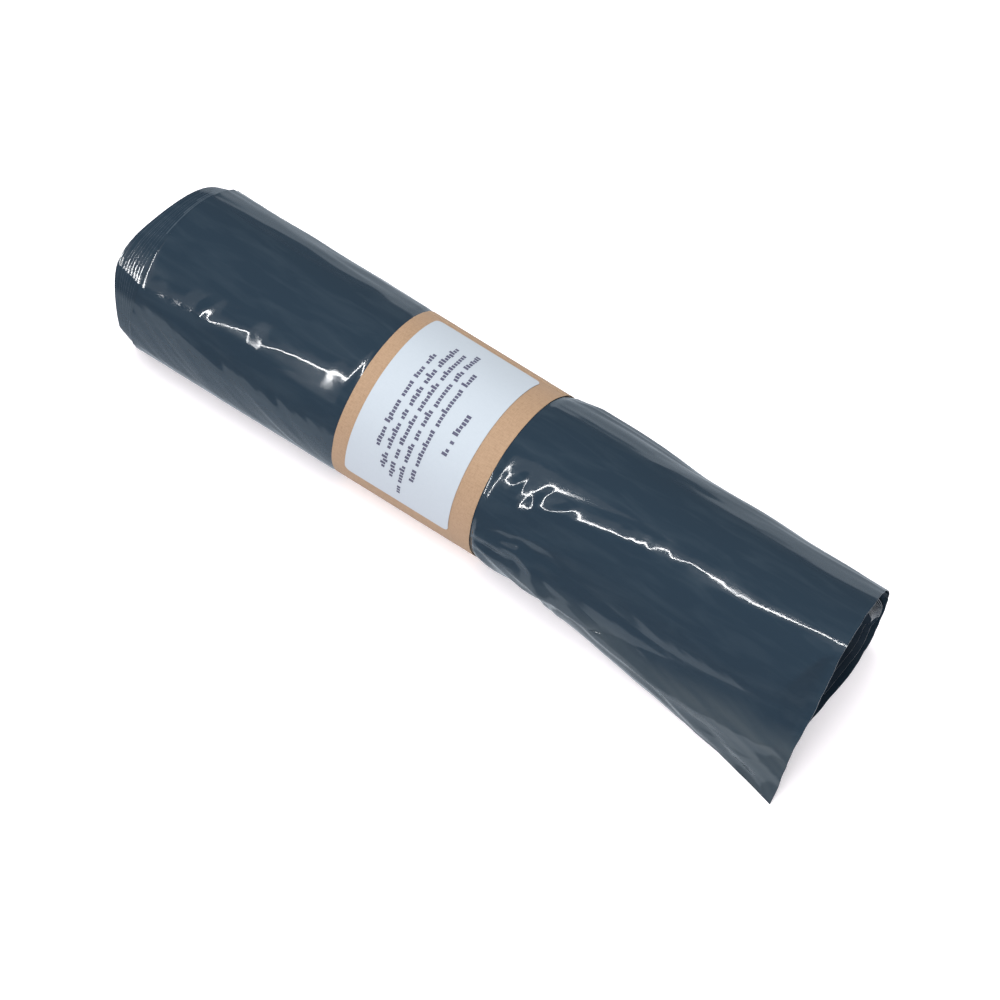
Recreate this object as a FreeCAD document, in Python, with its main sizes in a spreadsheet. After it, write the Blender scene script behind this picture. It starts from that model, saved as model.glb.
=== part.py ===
"""Bin bag roll: wound plastic film with a loose tail, a kraft paper band and a paper label.

Millimetres, +X along the roll towards its loose end, -Y to the front, +Z up.
The pieces are first laid out about the middle of the band, with the roll's axis at y = 0 and the
surface that it lies on at z = 0, and are then moved together to the middle of their common box.
"""
import FreeCAD, Part
import math
import os

import Sketcher

Vector = FreeCAD.Vector
X_AXIS = Vector(1, 0, 0)

SIZES = [
    ("roll_width", 110.0, "wound roll, front to back"),
    ("roll_height", 93.0, "wound roll, from the surface to its top"),
    ("foot_radius", 18.0, "bend between the roll's round side and its flat spot"),
    ("left_reach", 192.0, "band's middle to the outer turn's left edge"),
    ("right_reach", 272.0, "band's middle to the outer wound turn's right edge"),
    ("wall", 12.0, "wound film, from its outer turn to the hollow"),
    ("turn_pitch", 0.55, "one folded bag in the winding, with the air beside it"),
    ("turn_gap", 0.08, "air between two turns"),
    ("turn_count", 10.0, "turns that have slid along the roll"),
    ("turn_slide", 1.8, "slide of each turn over the next"),
    ("tail_thickness", 1.0, "loose tail, four layers of film"),
    ("tail_air", 0.3, "air under the tail where it leaves the roll"),
    ("tail_start", 60.0, "band's middle to where the tail comes loose"),
    ("tail_mid", 150.0, "band's middle to the tail's half-way section"),
    ("tail_length", 20.0, "tail's lip, past the wound turns"),
    ("reach_mid", 53.0, "tail's free edge in front of the axis, half-way"),
    ("reach_right", 76.0, "tail's free edge in front of the axis, at the wound turns' end"),
    ("reach_lip", 81.0, "tail's free edge in front of the axis, at the lip"),
    ("belly_mid", 2.6, "tail's belly out from a straight line, half-way"),
    ("belly_right", 0.2, "tail's belly at the wound turns' end and at the lip"),
    ("lip_angle", 108.0, "where the sagging lip leaves the top, in degrees from the back"),
    ("rim_back", 20.0, "root of the lip's rim on the surface, behind the axis"),
    ("rim_rise", 0.152, "slant of the lip's rim, along the roll for each millimetre up"),
    ("rim_swing", 0.132, "slant of the lip's rim, along the roll for each millimetre forward"),
    ("band_width", 100.0, "paper band, along the roll"),
    ("band_thickness", 0.3, "kraft paper tape"),
    ("lap_foot", 4.0, "lower end of the band's glued lap, in degrees from the back"),
    ("lap_edge", 40.0, "upper end of the band's glued lap, in degrees from the back"),
    ("paper_gap", 0.1, "clearance between the papers and what they lie on"),
    ("label_width", 75.0, "label, along the roll"),
    ("label_margin", 10.0, "band's left edge to the label"),
    ("label_thickness", 0.2, "label paper"),
    ("label_top", 46.0, "label's upper edge, in degrees from the back"),
    ("label_foot", 183.5, "label's lower edge, in degrees from the back"),
    ("label_corner", 4.0, "label's corner radius"),
]

doc = FreeCAD.newDocument("BinBagRoll")
dims = doc.addObject("Spreadsheet::Sheet", "Dims")
for row, (alias, value, note) in enumerate(SIZES, start=1):
    dims.set(f"A{row}", note)
    dims.set(f"B{row}", str(value))
    dims.setAlias(f"B{row}", alias)
doc.recompute()


def size(alias):
    """Returns one driving dimension from the sheet."""
    return float(dims.get(alias))


TOP_RADIUS = size("roll_width") / 2
AXIS_Z = size("roll_height") - TOP_RADIUS
FOOT_RADIUS = size("foot_radius")
FLAT_HALF = math.sqrt((TOP_RADIUS - FOOT_RADIUS) ** 2 - (AXIS_Z - FOOT_RADIUS) ** 2)
FOOT_DROP = math.degrees(math.atan2(AXIS_Z - FOOT_RADIUS, FLAT_HALF))
TURNS = int(round(size("turn_count")))
TAIL_SEAT = size("tail_thickness") + size("tail_air")
AXIS_HEIGHT = "Dims.roll_height - Dims.roll_width / 2"
BELOW = 5.0
CROWN_ANGLE = 100.0


def on_arc(centre_y, centre_z, radius, degrees):
    """Returns the point of a circle in the cross-section, its angle counted from the back."""
    angle = math.radians(degrees)
    return Vector(0, centre_y + radius * math.cos(angle), centre_z + radius * math.sin(angle))


def arc(centre_y, centre_z, radius, start, end):
    """Returns an arc of the cross-section between two angles."""
    middle = (start + end) / 2
    angles = (start, middle, end)
    return Part.Arc(*(on_arc(centre_y, centre_z, radius, a) for a in angles)).toShape()


def line(start, end):
    """Returns a straight edge."""
    return Part.LineSegment(start, end).toShape()


def placed(wire, x):
    """Returns a copy of a cross-section's wire at its place along the roll."""
    moved = wire.copy()
    moved.translate(X_AXIS * x)
    return moved


def roll_section(inset):
    """Returns the roll's cross-section: a round top, two tighter feet and the flat spot."""
    foot = FOOT_RADIUS - inset
    return Part.Wire([
        line(Vector(0, -FLAT_HALF, inset), Vector(0, FLAT_HALF, inset)),
        arc(FLAT_HALF, FOOT_RADIUS, foot, 270, 360 - FOOT_DROP),
        arc(0, AXIS_Z, TOP_RADIUS - inset, -FOOT_DROP, 180 + FOOT_DROP),
        arc(-FLAT_HALF, FOOT_RADIUS, foot, 180 + FOOT_DROP, 270),
    ])


def core_section():
    """Returns the roll's outline under its loose tail, which still rests on the surface."""
    side = TOP_RADIUS - TAIL_SEAT
    below = Vector(0, -FLAT_HALF, -BELOW)
    return Part.Wire([
        line(below, Vector(0, side, -BELOW)),
        line(Vector(0, side, -BELOW), Vector(0, side, AXIS_Z)),
        arc(0, AXIS_Z, side, 0, 180 + FOOT_DROP),
        arc(-FLAT_HALF, FOOT_RADIUS, FOOT_RADIUS - TAIL_SEAT, 180 + FOOT_DROP, 270),
        line(Vector(0, -FLAT_HALF, TAIL_SEAT), below),
    ])


def turn_section(number):
    """Returns one wound turn's outline, a spiral that closes in by a share of the pitch per bend.

    Each bend starts where the last one ends, about a centre that has moved towards that joint by as
    much as the radius has shrunk, so the outline stays smooth as far as the seam at the back.
    """
    inset = number * size("turn_pitch")
    top, foot = TOP_RADIUS - inset, FOOT_RADIUS - inset
    bends = [(0, AXIS_Z, top, 0, 90), (0, AXIS_Z, top, 90, 180 + FOOT_DROP),
             (-FLAT_HALF, FOOT_RADIUS, foot, 180 + FOOT_DROP, 270),
             (FLAT_HALF, FOOT_RADIUS, foot, 270, 360 - FOOT_DROP),
             (0, AXIS_Z, top, 360 - FOOT_DROP, 360)]
    share = (size("turn_pitch") - size("turn_gap")) / (len(bends) - 1)
    edges, moved = [], Vector(0, 0, 0)
    for shrunk, (centre_y, centre_z, radius, start, end) in enumerate(bends):
        bend = arc(centre_y + moved.y, centre_z + moved.z, radius - shrunk * share, start, end)
        if edges and (bend.firstVertex().Point - edges[-1].lastVertex().Point).Length > share:
            edges.append(line(edges[-1].lastVertex().Point, bend.firstVertex().Point))
        edges.append(bend)
        moved += on_arc(0, 0, share, end)
    edges.append(line(edges[-1].lastVertex().Point, edges[0].firstVertex().Point))
    return Part.Wire(edges)


def leave_angle(reach):
    """Returns where a taut tail that touches down at this reach leaves the roll's top arc."""
    to_axis = math.hypot(reach, AXIS_Z)
    below_front = math.degrees(math.atan2(AXIS_Z, reach))
    tangent = math.degrees(math.acos(min(1.0, TOP_RADIUS / to_axis)))
    return min(180.0 + FOOT_DROP, 180.0 + below_front - tangent)


def back_section(inset, bottom):
    """Returns the back of the roll's cross-section, from its crown round to the surface.

    The bottom is the level that it is cut off at, and can lie below the surface.
    """
    crown = on_arc(0, AXIS_Z, TOP_RADIUS - inset, CROWN_ANGLE)
    axis = Vector(0, 0, AXIS_Z)
    low = [Vector(0, 0, bottom), Vector(0, FLAT_HALF, bottom)]
    edges = [line(crown, axis), line(axis, low[0]), line(*low)]
    if bottom < inset:
        edges.append(line(low[1], Vector(0, FLAT_HALF, inset)))
    return Part.Wire(edges + [
        arc(FLAT_HALF, FOOT_RADIUS, FOOT_RADIUS - inset, 270, 360 - FOOT_DROP),
        arc(0, AXIS_Z, TOP_RADIUS - inset, -FOOT_DROP, CROWN_ANGLE),
    ])


def front_section(reach, leave, bulge, inset, bottom):
    """Returns the front of the cross-section: over the top, then down along the loose tail.

    The tail leaves the top arc at one angle and meets the surface at its reach. The bulge is how far
    the stretch between them stands out from a straight line, and the inset is measured inwards.
    """
    top = on_arc(0, AXIS_Z, TOP_RADIUS, leave)
    foot = Vector(0, -reach, 0)
    along = (foot - top).normalize()
    inward = Vector(0, -along.z, along.y)
    inner_top = on_arc(0, AXIS_Z, TOP_RADIUS - inset, leave)
    drop = foot + inward * inset
    drop += along * ((drop.z - bottom) / -along.z)
    middle = (inner_top + drop) / 2 - inward * bulge
    axis = Vector(0, 0, AXIS_Z)
    crown = on_arc(0, AXIS_Z, TOP_RADIUS - inset, CROWN_ANGLE)
    return Part.Wire([
        line(axis, crown),
        arc(0, AXIS_Z, TOP_RADIUS - inset, CROWN_ANGLE, leave),
        Part.Arc(inner_top, middle, drop).toShape(),
        line(drop, Vector(0, 0, bottom)),
        line(Vector(0, 0, bottom), axis),
    ])


def slack_section(reach):
    """Returns the space between a taut tail and the roll's middle, down through the surface."""
    leave = leave_angle(reach)
    inset = size("tail_thickness")
    outer_top = on_arc(0, AXIS_Z, TOP_RADIUS, leave)
    along = (Vector(0, -reach, 0) - outer_top).normalize()
    inward = Vector(0, -along.z, along.y)
    top = outer_top + inward * inset
    drop = top + along * ((top.z + BELOW) / -along.z)
    return Part.makePolygon([
        top,
        drop,
        Vector(0, 0, -BELOW),
        Vector(0, 0, AXIS_Z),
        top,
    ])


def feature(name, shape):
    """Adds a shape worked out from the sheet to the document."""
    item = doc.addObject("Part::Feature", name)
    item.Shape = shape
    return item


def prism(name, wire, start, length):
    """Adds a cross-section extruded along the roll, its start and length bound to the sheet."""
    profile = feature(name + "_profile", Part.Face(wire))
    solid = doc.addObject("Part::Extrusion", name)
    solid.Base = profile
    solid.DirMode = "Custom"
    solid.Dir = X_AXIS
    solid.Solid = True
    profile.setExpression("Placement.Base.x", start)
    solid.setExpression("LengthFwd", length)
    return solid


def lofted(name, stations, ruled):
    """Adds a solid lofted through cross-sections, each with its place along the roll."""
    wires = [placed(wire, x) for x, wire in stations]
    return feature(name, Part.makeLoft(wires, True, ruled))


def combined(kind, name, base, *others):
    """Adds the union of solids, or the first one less the others."""
    result = doc.addObject(kind, name)
    if kind == "Part::MultiFuse":
        result.Shapes = [base, *others]
    else:
        result.Base, result.Tool = base, others[0]
    return result


def telescoped(side):
    """Adds the turns that have slid along the roll, as steps at its left or a funnel at its right."""
    turns = []
    for number in range(1, TURNS + 1):
        slide = f"{number} * Dims.turn_slide"
        if side == "left":
            start, length = f"-Dims.left_reach - {slide}", f"{slide} + Dims.wall"
        else:
            start, length = f"Dims.right_reach - {slide}", slide
        turns.append(prism(f"{side}_turn_{number}", turn_section(number), start, length))
    return turns


def tail():
    """Adds the loose tail on the right of the band, solid as far as the roll's middle."""
    start, middle = size("tail_start"), size("tail_mid")
    right, lip = size("right_reach"), size("right_reach") + size("tail_length")
    half_bend = math.radians(90 - FOOT_DROP) / 2
    foot_bulge = FOOT_RADIUS * (1 - math.cos(half_bend))
    reach_mid, reach_right = size("reach_mid"), size("reach_right")
    belly_mid, belly_right = size("belly_mid"), size("belly_right")
    at_start = front_section(FLAT_HALF, 180 + FOOT_DROP, foot_bulge, 0, 0)
    at_middle = front_section(reach_mid, leave_angle(reach_mid), belly_mid, 0, 0)
    at_right = front_section(reach_right, leave_angle(reach_right), belly_right, 0, 0)
    at_lip = front_section(size("reach_lip"), size("lip_angle"), belly_right, 0, 0)
    front = lofted("tail_front", [(start, at_start), (middle, at_middle), (right, at_right)], False)
    lip_front = lofted("lip_front", [(right, at_right), (lip, at_lip)], True)
    back = prism("tail_back", back_section(0, 0), "Dims.tail_start",
                 "Dims.right_reach + Dims.tail_length - Dims.tail_start")
    return [front, lip_front, back]


def mouth():
    """Adds the space inside the sagging lip, past the wound turns and open to the surface."""
    right, past = size("right_reach"), size("right_reach") + size("tail_length")
    inset, reach = size("tail_thickness"), size("reach_right")
    belly = size("belly_right")
    at_right = front_section(reach, leave_angle(reach), belly, inset, -BELOW)
    at_lip = front_section(size("reach_lip"), size("lip_angle"), belly, inset, -BELOW)
    front = lofted("mouth_front", [(right, at_right), (past, at_lip)], True)
    back = prism("mouth_back", back_section(inset, -BELOW), "Dims.right_reach", "Dims.tail_length")
    return combined("Part::MultiFuse", "mouth", front, back)


def slack():
    """Adds the space between the loose tail and the wound turns, open to the surface."""
    reaches = {"tail_start": FLAT_HALF, "tail_mid": size("reach_mid"),
               "right_reach": size("reach_right")}
    stations = [(size(place), slack_section(reach)) for place, reach in reaches.items()]
    under_tail = lofted("under_tail", stations, True)
    core = prism("core_envelope", core_section(), "0", "Dims.right_reach + Dims.wall")
    return combined("Part::Cut", "slack", under_tail, core)


def rim():
    """Adds what is cut off past the slanted rim of the lip."""
    right, span = size("right_reach"), 4 * size("roll_width")
    rise, swing = size("rim_rise"), size("rim_swing")

    def on_rim(y, z):
        return Vector(right + rise * z + swing * (size("rim_back") - y), y, z)

    corners = [on_rim(-span, -span), on_rim(span, -span), on_rim(span, span), on_rim(-span, span)]
    face = Part.Face(Part.makePolygon(corners + corners[:1]))
    return feature("rim", face.extrude(X_AXIS * span))


def bag_roll():
    """Adds the roll of film: wound turns, hollow middle, band seat and loose tail in one solid."""
    outer = prism("outer_turn", roll_section(0), "-Dims.left_reach",
                  "Dims.left_reach + Dims.tail_start")
    body = combined("Part::MultiFuse", "solid_roll", outer, *telescoped("left"), *tail())
    hollow = prism("hollow", roll_section(size("wall")),
                   "-Dims.left_reach - Dims.turn_count * Dims.turn_slide - Dims.wall",
                   "Dims.left_reach + Dims.turn_count * Dims.turn_slide + Dims.right_reach"
                   " + Dims.tail_length + 2 * Dims.wall")
    seat_outer = prism("seat_outer", roll_section(-size("band_thickness")),
                       "-Dims.band_width / 2 - Dims.paper_gap",
                       "Dims.band_width + 2 * Dims.paper_gap")
    depth = size("band_thickness") + 2 * size("paper_gap")
    seat_inner = prism("seat_inner", roll_section(depth), "-Dims.band_width", "2 * Dims.band_width")
    seat = combined("Part::Cut", "seat", seat_outer, seat_inner)
    result = body
    cutters = [hollow, mouth(), *telescoped("right"), slack(), seat, rim()]
    for number, cutter in enumerate(cutters, start=1):
        result = combined("Part::Cut", f"roll_step_{number}", result, cutter)
    return result


def yz_sketch(body, name, place):
    """Adds a sketch on the body's own YZ plane, at its place along the roll."""
    sketch = body.newObject("Sketcher::SketchObject", name)
    plane = [item for item in body.Origin.OriginFeatures if item.Role == "YZ_Plane"][0]
    sketch.AttachmentSupport = [(plane, "")]
    sketch.MapMode = "FlatFace"
    sketch.setExpression("AttachmentOffset.Base.z", place)
    return sketch


def sketch_arc(sketch, centre_y, centre_z, radius, start, end):
    """Adds an arc of the cross-section to a sketch; the angles are in degrees."""
    circle = Part.Circle(Vector(centre_y, centre_z, 0), Vector(0, 0, 1), radius)
    return sketch.addGeometry(Part.ArcOfCircle(circle, math.radians(start), math.radians(end)))


def bind(sketch, kind, name, formula, *where):
    """Adds a dimension to a sketch and binds it to the sheet."""
    number = sketch.addConstraint(Sketcher.Constraint(kind, *where))
    sketch.renameConstraint(number, name)
    sketch.setExpression(f"Constraints.{name}", formula)


def join(sketch, kind, joints):
    """Adds constraints of one kind between the ends of a sketch's edges."""
    for joint in joints:
        sketch.addConstraint(Sketcher.Constraint(kind, *joint))


def ring_outline(sketch, name, inset, formula):
    """Adds one closed roll outline to a sketch: flat spot, two feet and a round top."""
    foot = FOOT_RADIUS - inset
    ends = (Vector(-FLAT_HALF, inset, 0), Vector(FLAT_HALF, inset, 0))
    top = sketch_arc(sketch, 0, AXIS_Z, TOP_RADIUS - inset, -FOOT_DROP, 180 + FOOT_DROP)
    front = sketch_arc(sketch, -FLAT_HALF, FOOT_RADIUS, foot, 180 + FOOT_DROP, 270)
    flat = sketch.addGeometry(Part.LineSegment(*ends))
    back = sketch_arc(sketch, FLAT_HALF, FOOT_RADIUS, foot, 270, 360 - FOOT_DROP)
    join(sketch, "Tangent",
         [(top, 2, front, 1), (front, 2, flat, 1), (flat, 2, back, 1), (back, 2, top, 1)])
    join(sketch, "Horizontal", [(flat,)])
    join(sketch, "PointOnObject", [(top, 3, -2)])
    join(sketch, "Equal", [(front, back)])
    bind(sketch, "DistanceY", name + "_axis", AXIS_HEIGHT, -1, 1, top, 3, AXIS_Z)
    bind(sketch, "DistanceY", name + "_flat", formula, -1, 1, flat, 1, inset)
    bind(sketch, "Radius", name + "_top", f"Dims.roll_width / 2 - ({formula})",
         top, TOP_RADIUS - inset)
    bind(sketch, "Radius", name + "_foot", f"Dims.foot_radius - ({formula})", front, foot)


def strip_outline(sketch, insets, formulas, angles, aliases):
    """Adds a curved strip on the roll's round top to a sketch, between two radial ends."""
    inner, outer = (TOP_RADIUS - inset for inset in insets)
    start, end = angles
    arcs = [sketch_arc(sketch, 0, AXIS_Z, radius, start, end) for radius in (inner, outer)]
    ends = []
    for angle in angles:
        points = (on_arc(0, AXIS_Z, radius, angle) for radius in (inner, outer))
        flat_points = [Vector(point.y, point.z, 0) for point in points]
        ends.append(sketch.addGeometry(Part.LineSegment(*flat_points)))
    low, high = ends
    join(sketch, "Coincident", [(arcs[0], 1, low, 1), (arcs[1], 1, low, 2), (arcs[0], 2, high, 1),
                                (arcs[1], 2, high, 2), (arcs[0], 3, arcs[1], 3)])
    join(sketch, "PointOnObject", [(arcs[0], 3, -2), (arcs[0], 3, low), (arcs[0], 3, high)])
    bind(sketch, "DistanceY", "axis", AXIS_HEIGHT, -1, 1, arcs[0], 3, AXIS_Z)
    for edge, name, radius, formula in zip(arcs, ("inner", "outer"), (inner, outer), formulas):
        bind(sketch, "Radius", name, f"Dims.roll_width / 2 - ({formula})", edge, radius)
    for edge, name, angle, alias in zip(ends, ("low", "high"), angles, aliases):
        bind(sketch, "Angle", name, f"Dims.{alias} * 1 deg", edge, math.radians(angle))


def pad(body, name, sketch, length):
    """Pads a sketch along the roll by a length bound to the sheet."""
    solid = body.newObject("PartDesign::Pad", name)
    solid.Profile = sketch
    solid.Type = "Length"
    solid.setExpression("Length", length)
    return solid


def paper_band():
    """Adds the kraft band: a ring in its seat, and the lap where its end is glued down."""
    gap, paper = size("paper_gap"), size("band_thickness")
    body = doc.addObject("PartDesign::Body", "paper_band")
    ring = yz_sketch(body, "ring_sketch", "-Dims.band_width / 2")
    ring_outline(ring, "outside", gap, "Dims.paper_gap")
    ring_outline(ring, "inside", gap + paper, "Dims.paper_gap + Dims.band_thickness")
    pad(body, "ring", ring, "Dims.band_width")
    lap = yz_sketch(body, "lap_sketch", "-Dims.band_width / 2")
    strip_outline(lap, (gap + paper / 2, gap - paper),
                  ("Dims.paper_gap + Dims.band_thickness / 2", "Dims.paper_gap - Dims.band_thickness"),
                  (size("lap_foot"), size("lap_edge")), ("lap_foot", "lap_edge"))
    pad(body, "lap", lap, "Dims.band_width")
    return body


def paper_label():
    """Adds the label, a curved sheet with rounded corners on the band's upper front."""
    paper = size("label_thickness")
    body = doc.addObject("PartDesign::Body", "paper_label")
    sheet = yz_sketch(body, "sheet_sketch", "Dims.label_margin - Dims.band_width / 2")
    strip_outline(sheet, (0.0, -paper), ("0", "-Dims.label_thickness"),
                  (size("label_top"), size("label_foot")), ("label_top", "label_foot"))
    flat = pad(body, "sheet", sheet, "Dims.label_width")
    doc.recompute()
    corners = [f"Edge{number}" for number, edge in enumerate(flat.Shape.Edges, start=1)
               if edge.Length < 2 * paper]
    rounding = body.newObject("PartDesign::Fillet", "corners")
    rounding.Base = (flat, corners)
    rounding.setExpression("Radius", "Dims.label_corner")
    return body


def check(item):
    """Stops the build where an object of the document has failed."""
    if "Invalid" in item.State or "Error" in item.State:
        raise RuntimeError(f"{item.Label} did not build: {item.State}")


pieces = {"bag_roll": bag_roll(), "paper_band": paper_band(), "paper_label": paper_label()}
doc.recompute()
box = FreeCAD.BoundBox()
for piece in pieces.values():
    box.add(piece.Shape.optimalBoundingBox(False, False))
to_origin = Vector(-box.Center.x, -box.Center.y, 0)
for name, piece in pieces.items():
    piece.Label = name
    piece.Placement = FreeCAD.Placement(to_origin, FreeCAD.Rotation())
doc.recompute()
for item in doc.Objects:
    check(item)
for name, piece in pieces.items():
    if piece.Shape.isNull() or not piece.Shape.isValid():
        raise RuntimeError(f"{name} has no valid shape")

os.makedirs("parts", exist_ok=True)
for name, piece in pieces.items():
    piece.Shape.exportStep(f"parts/{name}.step")
    extent = piece.Shape.optimalBoundingBox(False, False)
    print(name, len(piece.Shape.Solids), "solid,", round(piece.Shape.Volume), "mm3,", extent)
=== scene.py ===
"""Bin bag roll: wound film with a loose tail, held by a kraft paper band with a paper label.

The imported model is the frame. The wound film, its ends, the loose tail, the band and the label are
modelled here as thin sheets that lie where the frame's solids lie. Lengths are in metres, with +X
along the roll towards its loose end, -Y to the front and +Z up. A place on the film is given in the
unrolled sheet: x along the roll, and u over it from the crown, positive towards the front.
"""
import logging
import math
from dataclasses import dataclass
from enum import Enum
from typing import Callable

import bmesh
import bpy
import numpy as np
from mathutils import Matrix, Vector, noise


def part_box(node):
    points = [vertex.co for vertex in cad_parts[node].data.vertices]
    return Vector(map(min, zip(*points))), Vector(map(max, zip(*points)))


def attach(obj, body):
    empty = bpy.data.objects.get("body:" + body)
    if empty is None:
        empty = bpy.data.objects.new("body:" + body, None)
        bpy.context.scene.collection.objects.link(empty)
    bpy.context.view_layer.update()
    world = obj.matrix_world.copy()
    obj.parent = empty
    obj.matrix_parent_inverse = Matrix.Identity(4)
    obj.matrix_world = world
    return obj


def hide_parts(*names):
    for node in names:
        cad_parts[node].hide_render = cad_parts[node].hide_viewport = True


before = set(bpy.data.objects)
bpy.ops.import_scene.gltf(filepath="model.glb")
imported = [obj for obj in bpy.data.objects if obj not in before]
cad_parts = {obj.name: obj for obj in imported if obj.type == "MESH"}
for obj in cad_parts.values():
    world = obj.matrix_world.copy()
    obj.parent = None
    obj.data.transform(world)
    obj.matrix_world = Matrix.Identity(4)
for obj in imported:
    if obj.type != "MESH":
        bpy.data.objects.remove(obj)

LOG = logging.getLogger("bin_bag_roll")
BODY = "root"
# Paler colour painted on the tail where it is clear of the roll: painted light standing in for the bright
# floor seen through and reflected in the film.
PAINTED_SHOW_THROUGH = (0.041, 0.054, 0.065)
MM = 0.001
CRISP_EDGE = math.radians(60.0)
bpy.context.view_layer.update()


class Slot(Enum):
    """Material slots of the record."""

    FILM = "film"
    KRAFT = "kraft_paper"
    LABEL = "label_paper"


def smooth_step(low: float, high: float, value: np.ndarray) -> np.ndarray:
    """Returns 0 below low and 1 above high, with a soft rise between them.

    Args:
        low: Where the rise starts.
        high: Where the rise ends.
        value: The values to blend.

    Returns:
        The blend for each value.
    """
    share = np.clip((value - low) / (high - low), 0.0, 1.0)
    return share * share * (3.0 - 2.0 * share)


def noise_at(x: np.ndarray, u: np.ndarray, size: tuple[float, float], seed: float) -> np.ndarray:
    """Returns smooth noise over the unrolled sheet.

    Args:
        x: Places along the roll.
        u: Places round the roll.
        size: Size of one wave along and round the roll.
        seed: Which slice of the noise to take.

    Returns:
        Values from about -1 to 1.
    """
    points = zip((x / size[0]).tolist(), (u / size[1]).tolist())
    return np.array([noise.noise(Vector((a, b, seed))) for a, b in points])


@dataclass(frozen=True)
class Wave:
    """Smooth uneven wave over the unrolled film.

    Attributes:
        height: Its greatest height.
        along: Length of one wave along the roll.
        across: Length of one wave round the roll.
        seed: Slice of the noise.
    """

    height: float
    along: float
    across: float
    seed: float

    def at(self, x: np.ndarray, u: np.ndarray, seed: float = 0.0) -> np.ndarray:
        """Returns the wave's height at each place, on a sheet that has its own seed."""
        return self.height * noise_at(x, u, (self.along, self.across), self.seed + seed)

    def ridges(self, x: np.ndarray, u: np.ndarray, seed: float, middle: float = 0.4) -> np.ndarray:
        """Returns the wave folded into sharp ridges, with its middle at a share of its height."""
        return self.height * middle - np.abs(self.at(x, u, seed))


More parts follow.
